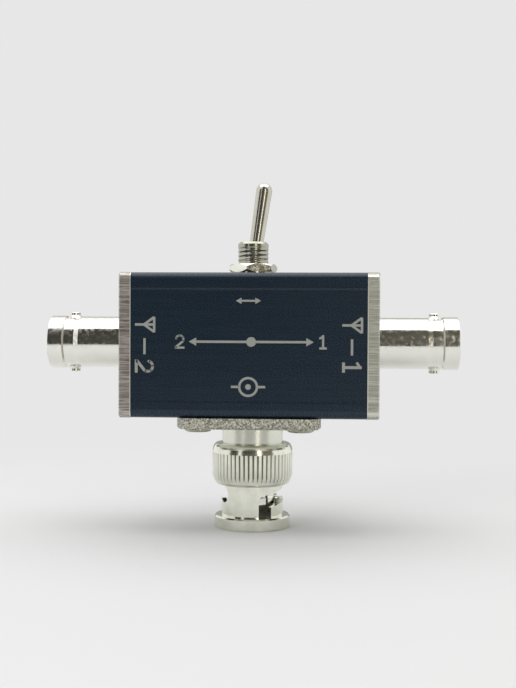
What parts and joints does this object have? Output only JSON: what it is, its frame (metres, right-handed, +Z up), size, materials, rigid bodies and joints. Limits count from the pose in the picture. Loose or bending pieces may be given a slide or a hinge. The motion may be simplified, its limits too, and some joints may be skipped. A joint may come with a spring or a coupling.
{
  "type": "coaxial antenna switch",
  "caption": "Two-way coaxial antenna switch: square aluminium box on a bayonet plug, with a bayonet jack at each end and a small toggle lever on top.",
  "frame": {"origin": "centre of the plug's mouth, on the face that the switch stands on", "axes": "+Z up along the plug's axis, +X towards the right-hand jack, -Y towards the labelled face"},
  "size_m": [0.0754, 0.0256, 0.0636],
  "materials": {
    "anodised": "satin",
    "plate": "satin",
    "nickel": "polished",
    "flange_nickel": "satin",
    "steel": "satin",
    "screw_black": "satin",
    "gold": "polished",
    "ptfe": "matte",
    "gasket": "matte",
    "case_blue": "satin",
    "plunger_plastic": "satin",
    "copper": "satin"
  },
  "bodies": {
    "switch_box": {"housing": "anodised", "end_plate_left": "plate", "end_plate_right": "plate", "end_screws_left": "screw_black", "end_screws_right": "screw_black", "jack_body_left": "nickel", "jack_body_right": "nickel", "jack_insulator_left": "ptfe", "jack_insulator_right": "ptfe", "jack_contact_left": "gold", "jack_contact_right": "gold", "jack_washer_left": "steel", "jack_washer_right": "steel", "jack_nut_left": "nickel", "jack_nut_right": "nickel", "plug_body": "flange_nickel", "flange_screws": "steel", "plug_shell": "nickel", "plug_ferrule": "nickel", "plug_gasket": "gasket", "plug_insulator": "ptfe", "plug_pin": "gold", "wave_spring": "steel", "toggle_bushing": "nickel", "toggle_nut": "nickel", "toggle_washer": "steel", "toggle_lock_washer": "steel", "toggle_frame": "steel", "toggle_case": "case_blue", "terminal_left": "steel", "terminal_right": "steel", "terminal_common": "steel", "wire_left": "copper", "wire_right": "copper", "wire_common": "copper"},
    "slip_carrier": {"slip_washer": "steel"},
    "coupling_nut": {"coupling_nut": "nickel", "nut_retainer": "nickel"},
    "lever": {"toggle_lever": "nickel", "plunger_spring": "steel"},
    "plunger": {"toggle_plunger": "plunger_plastic"},
    "rocker": {"toggle_rocker": "gold"}
  },
  "joints": [
    {"name": "lever_tilt", "type": "hinge", "parent": "switch_box", "child": "lever", "pos_m": [0, 0, 0.0485], "axis": [0, 1, 0], "range_deg": [-16.2, 0]},
    {"name": "rocker_tilt", "type": "hinge", "parent": "switch_box", "child": "rocker", "pos_m": [0, 0, 0.0384], "axis": [0, 1, 0], "range_deg": [0, 24]},
    {"name": "plunger_press", "type": "slide", "parent": "lever", "child": "plunger", "axis": [0.1409, 0, 0.99], "range_m": [0, 0.0003], "stiffness_N_per_m": 300, "springref_m": -0.001, "deforming": ["plunger_spring"]},
    {"name": "nut_slide", "type": "slide", "parent": "switch_box", "child": "slip_carrier", "axis": [0, 0, -1], "range_m": [0, 0.0007], "stiffness_N_per_m": 4000, "springref_m": -0.001, "deforming": ["wave_spring"]},
    {"name": "nut_turn", "type": "hinge", "parent": "slip_carrier", "child": "coupling_nut", "pos_m": [0, 0, 0.008], "axis": [0, 0, 1], "continuous": true}
  ],
  "couplings": [
    {"joint": "rocker_tilt", "follows": "lever_tilt", "ratio": -1.4815}
  ]
}
